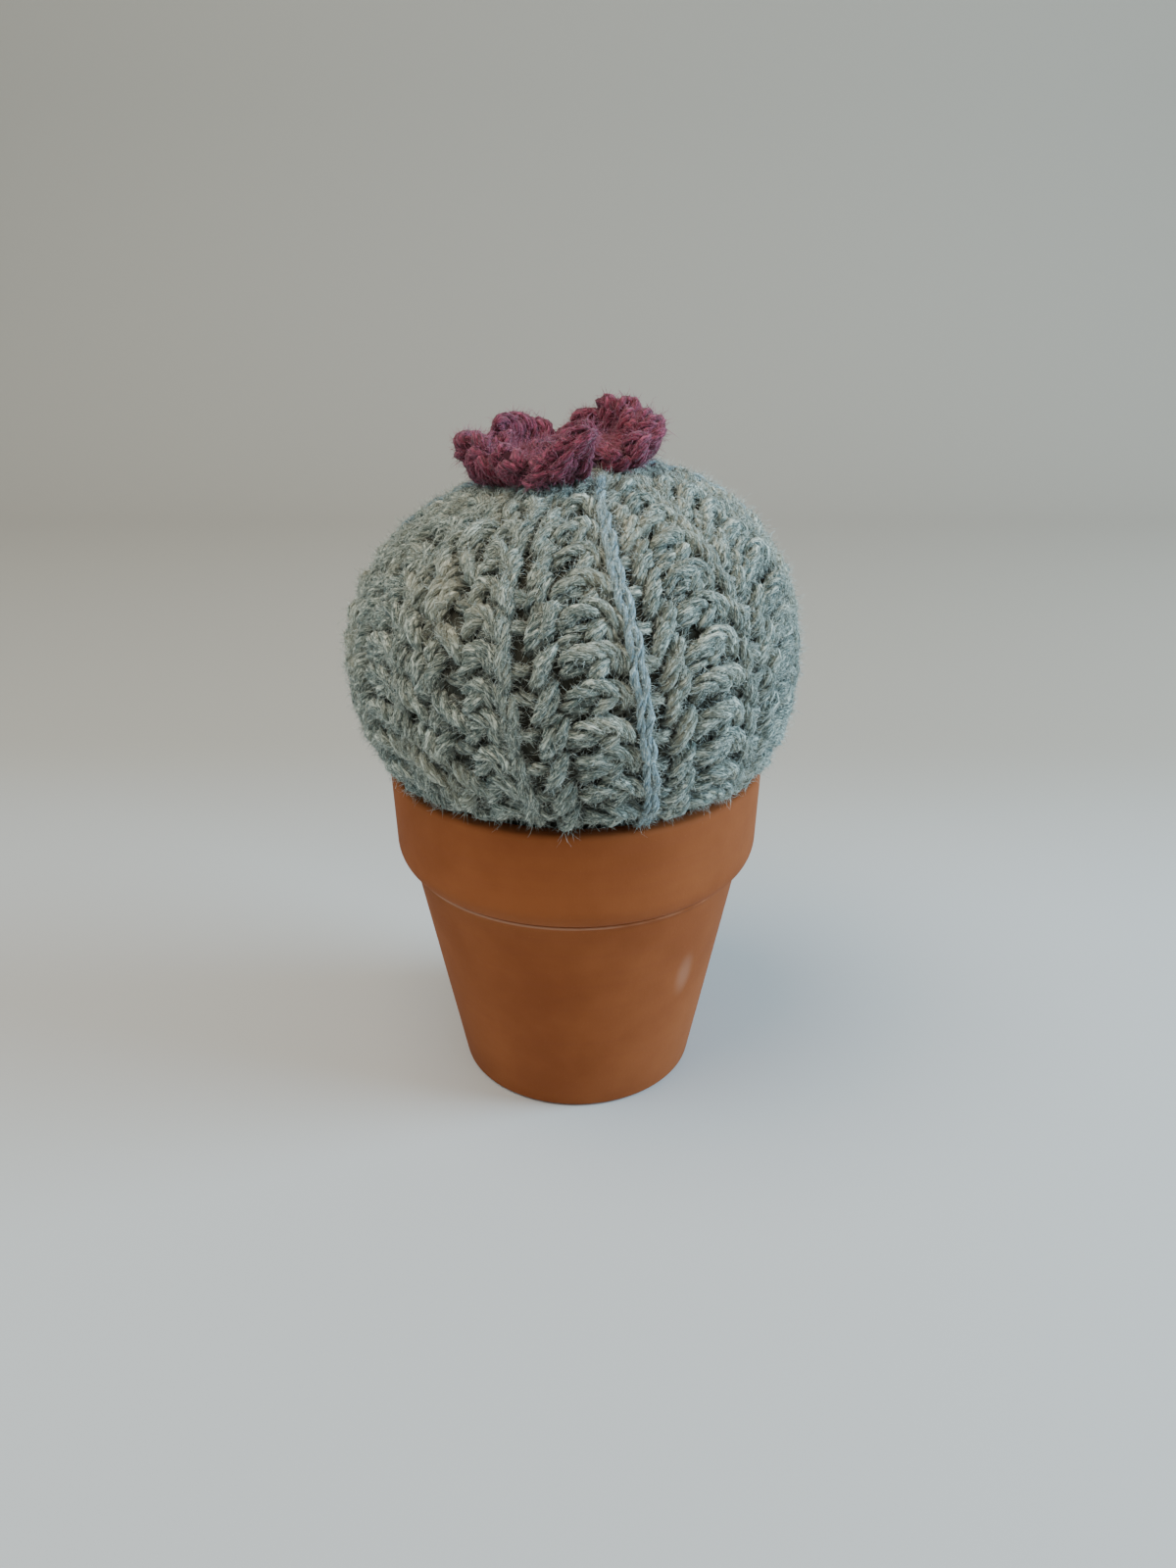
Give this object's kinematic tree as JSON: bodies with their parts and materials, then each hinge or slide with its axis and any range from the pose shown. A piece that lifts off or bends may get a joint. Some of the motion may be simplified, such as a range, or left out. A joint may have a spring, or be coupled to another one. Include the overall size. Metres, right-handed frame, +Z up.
{
  "type": "crocheted potted cactus ornament",
  "caption": "Stuffed crocheted ball cactus with vertical ribs and a crocheted flower on its crown, resting in the mouth of a small terracotta pot; desk or shelf ornament.",
  "frame": {"origin": "centre of the pot's base, on the surface that the pot stands on", "axes": "+Z up through the pot's mouth and the ball's crown, the front that the picture shows faces -Y, +X to the right seen from the front"},
  "size_m": [0.0922, 0.0923, 0.149],
  "materials": {
    "terracotta": "matte unglazed earthenware with faint turning lines",
    "body_yarn": "soft plied worsted yarn, grey-green, slightly fuzzy",
    "fibrefill": "loose white polyester fibre",
    "flower_yarn": "soft plied yarn, dusky plum, slightly fuzzy"
  },
  "bodies": {
    "root": {"pot": "terracotta", "crochet_cover": "body_yarn", "stuffing": "fibrefill", "flower": "flower_yarn"}
  },
  "joints": []
}
